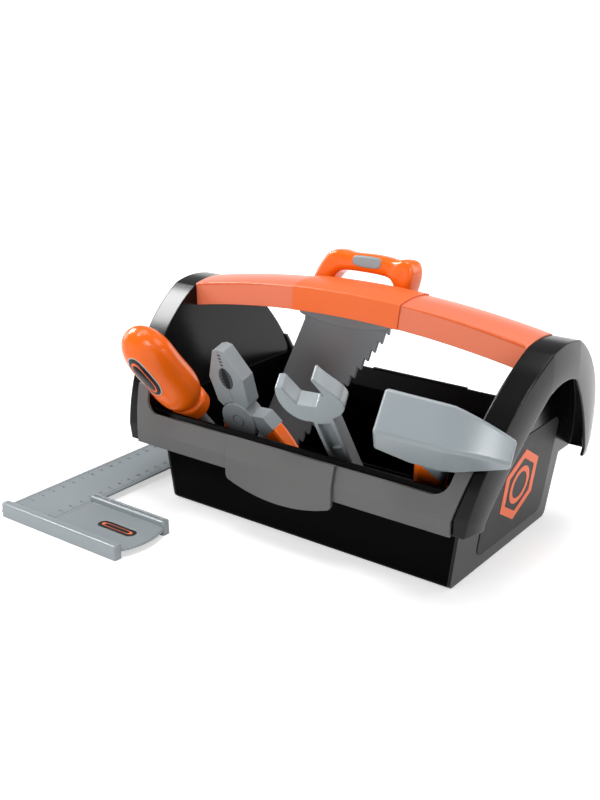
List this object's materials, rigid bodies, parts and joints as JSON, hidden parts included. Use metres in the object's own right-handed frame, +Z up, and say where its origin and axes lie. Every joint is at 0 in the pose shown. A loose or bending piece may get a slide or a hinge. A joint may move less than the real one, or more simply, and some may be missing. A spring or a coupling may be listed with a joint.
{
  "type": "toy tool box",
  "caption": "Open toy tool box with a bowed carrying handle and arched end hoods, holding toy hand tools that lift out, with a toy square lying beside it.",
  "frame": {"origin": "middle of the tub's flat underside", "axes": "+X along the box towards the end with the plate, -Y towards the front, +Z up"},
  "size_m": [0.4437, 0.3253, 0.2256],
  "materials": {
    "black_gloss": "gloss moulded plastic",
    "grey_satin": "satin moulded plastic",
    "orange_gloss": "gloss moulded plastic",
    "orange_grip": "satin-gloss moulded plastic",
    "tool_grey": "satin-gloss moulded plastic",
    "label_dark": "printed label"
  },
  "bodies": {
    "box": {"tub": "black_gloss", "right_hood": "black_gloss", "left_hood": "black_gloss", "front_fascia": "grey_satin", "rear_fascia": "grey_satin", "front_centre_plate": "grey_satin", "rear_centre_plate": "grey_satin", "handle_bar": "orange_gloss", "handle_grip": "orange_grip", "end_label": "label_dark"},
    "hammer": {"hammer_head": "tool_grey", "hammer_handle": "tool_grey", "hammer_grip": "orange_gloss"},
    "saw": {"saw_blade": "tool_grey", "saw_ferrule": "tool_grey", "saw_handle": "orange_gloss", "saw_insert": "tool_grey"},
    "wrench": {"wrench": "tool_grey"},
    "pliers_front": {"pliers_front_half": "tool_grey", "pliers_left_grip": "orange_gloss", "pliers_pivot_pin": "tool_grey"},
    "pliers_back": {"pliers_back_half": "tool_grey", "pliers_right_grip": "orange_gloss"},
    "screwdriver": {"screwdriver_shaft": "tool_grey", "screwdriver_collar": "orange_gloss", "screwdriver_handle": "orange_gloss"},
    "square": {"square_stock": "tool_grey", "square_blade": "tool_grey", "square_badge": "label_dark"}
  },
  "joints": [
    {"name": "hammer_lift", "type": "slide", "parent": "box", "child": "hammer", "axis": [0.381, -0.6447, 0.6627], "range_m": [0, 0.15]},
    {"name": "saw_lift", "type": "slide", "parent": "box", "child": "saw", "axis": [0, 0.1411, 0.99], "range_m": [0, 0.12]},
    {"name": "wrench_lift", "type": "slide", "parent": "box", "child": "wrench", "axis": [0.003, -0.5133, 0.8582], "range_m": [0, 0.13]},
    {"name": "pliers_lift", "type": "slide", "parent": "box", "child": "pliers_front", "axis": [0, -0.2924, 0.9563], "range_m": [0, 0.11]},
    {"name": "pliers_open", "type": "hinge", "parent": "pliers_front", "child": "pliers_back", "pos_m": [-0.0725, -0.07, 0.092], "axis": [0, -0.9563, -0.2924], "range_deg": [0, 20]},
    {"name": "screwdriver_lift", "type": "slide", "parent": "box", "child": "screwdriver", "axis": [0, -0.646, 0.7633], "range_m": [0, 0.14]},
    {"name": "square_lift", "type": "slide", "parent": "box", "child": "square", "axis": [0, 0, 1], "range_m": [0, 0.08]}
  ]
}
